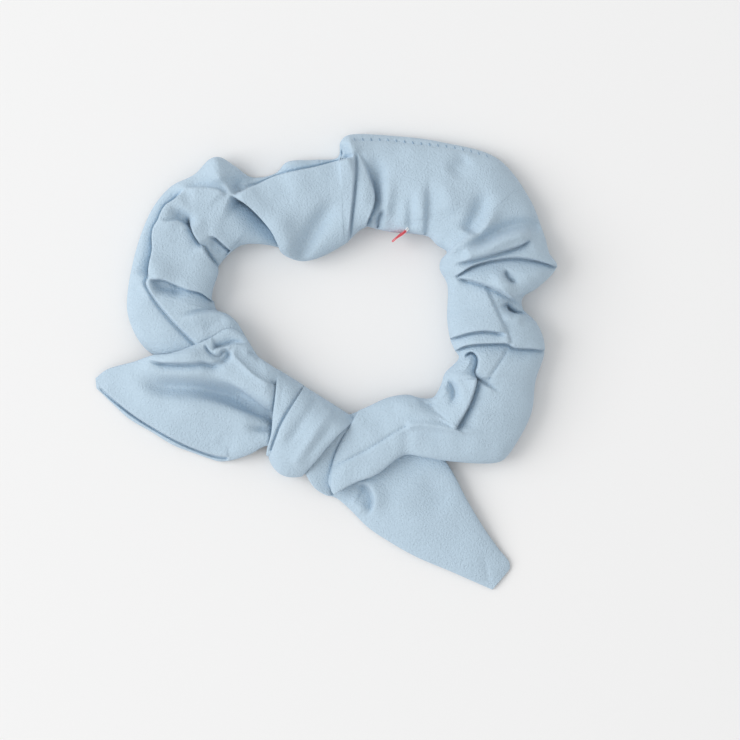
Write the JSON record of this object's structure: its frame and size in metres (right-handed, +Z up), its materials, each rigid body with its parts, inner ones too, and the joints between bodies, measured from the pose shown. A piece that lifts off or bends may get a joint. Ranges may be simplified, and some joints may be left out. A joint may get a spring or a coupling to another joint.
{
  "type": "scrunchie",
  "caption": "Gathered fabric tube ring round a flat elastic loop, with a pointed sash knotted round its front.",
  "frame": {"origin": "under the middle of the whole outline, on the surface it lies on", "axes": "+Z up from the surface, +Y towards the back of the ring, -Y towards the knot and tails, +X to the right seen from above with the back away"},
  "size_m": [0.17, 0.17, 0.0165],
  "materials": {
    "casing_fabric": "soft matte crepe, light powder blue",
    "sash_fabric": "soft matte crepe, light powder blue",
    "elastic": "white braided elastic",
    "stitch_thread": "matte polyester thread",
    "label_ribbon": "woven satin ribbon"
  },
  "bodies": {
    "front": {"casing_front_left": "casing_fabric", "casing_front_right": "casing_fabric", "casing_left_side": "casing_fabric", "casing_right_side": "casing_fabric", "elastic_front": "elastic", "elastic_left_side": "elastic", "elastic_right_side": "elastic", "seam_thread_gather": "stitch_thread", "seam_thread_strap": "stitch_thread", "seam_thread_left_side": "stitch_thread", "seam_thread_right_side": "stitch_thread", "knot": "sash_fabric", "sash_under_strap": "sash_fabric"},
    "back": {"casing_back": "casing_fabric", "elastic_back": "elastic", "seam_thread_back": "stitch_thread", "closing_topstitch": "stitch_thread", "elastic_join_stitches": "stitch_thread", "label_stitches": "stitch_thread"},
    "left_tail": {"left_tail": "sash_fabric"},
    "right_tail": {"right_tail": "sash_fabric"},
    "label": {"label": "label_ribbon"}
  },
  "joints": [
    {"name": "stretch", "type": "slide", "parent": "front", "child": "back", "axis": [0, 1, 0], "range_m": [0, 0.06], "stiffness_N_per_m": 80, "deforming": ["casing_left_side", "casing_right_side", "elastic_left_side", "elastic_right_side", "seam_thread_left_side", "seam_thread_right_side"]},
    {"name": "left_tail_lift", "type": "hinge", "parent": "front", "child": "left_tail", "pos_m": [-0.023, -0.017, 0.0146], "axis": [0, 1, 0], "range_deg": [0, 110]},
    {"name": "right_tail_lift", "type": "hinge", "parent": "front", "child": "right_tail", "pos_m": [0.03, -0.0435, 0.008], "axis": [-0.9918, -0.1279, 0], "range_deg": [0, 120]},
    {"name": "label_swing", "type": "hinge", "parent": "back", "child": "label", "pos_m": [0.0296, 0.0477, 0.008], "axis": [0, 0, 1], "range_deg": [-25, 95]}
  ]
}
